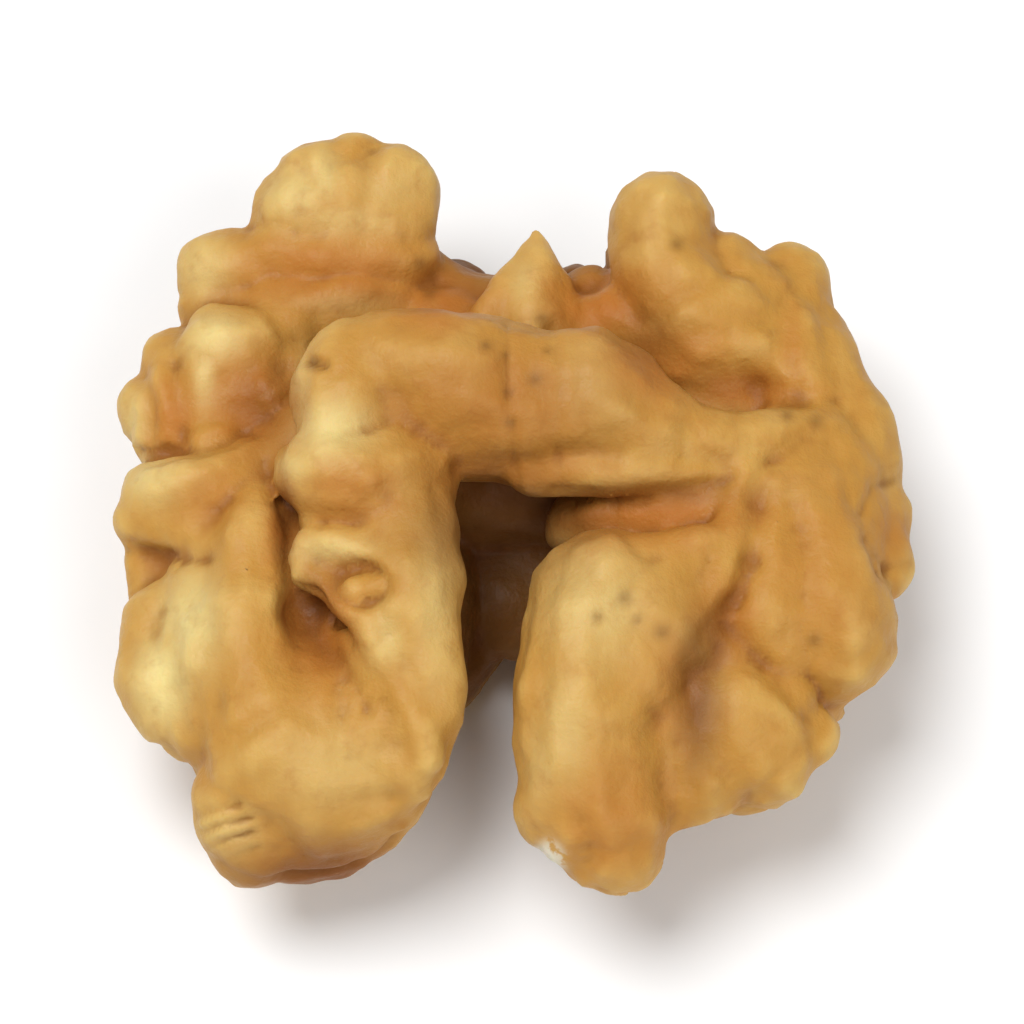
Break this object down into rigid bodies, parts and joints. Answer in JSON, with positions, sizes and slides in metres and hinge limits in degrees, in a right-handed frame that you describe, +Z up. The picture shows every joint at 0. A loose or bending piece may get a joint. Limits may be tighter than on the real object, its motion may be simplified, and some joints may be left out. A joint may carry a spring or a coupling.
{
  "type": "walnut kernel",
  "caption": "Shelled walnut half kernel lying on its rounded, furrowed outer side, with its folded inner face and arch upwards.",
  "frame": {"origin": "on the table, under the middle of the kernel's bounding box", "axes": "+Z up, away from the table, through the inner face; +Y towards the pointed end, where the root tip and the arch are; the open notch faces -Y; +X to the right as seen from the notch"},
  "size_m": [0.032, 0.0322, 0.0146],
  "materials": {
    "kernel_skin": null
  },
  "bodies": {
    "root": {"kernel": "kernel_skin"}
  },
  "joints": []
}
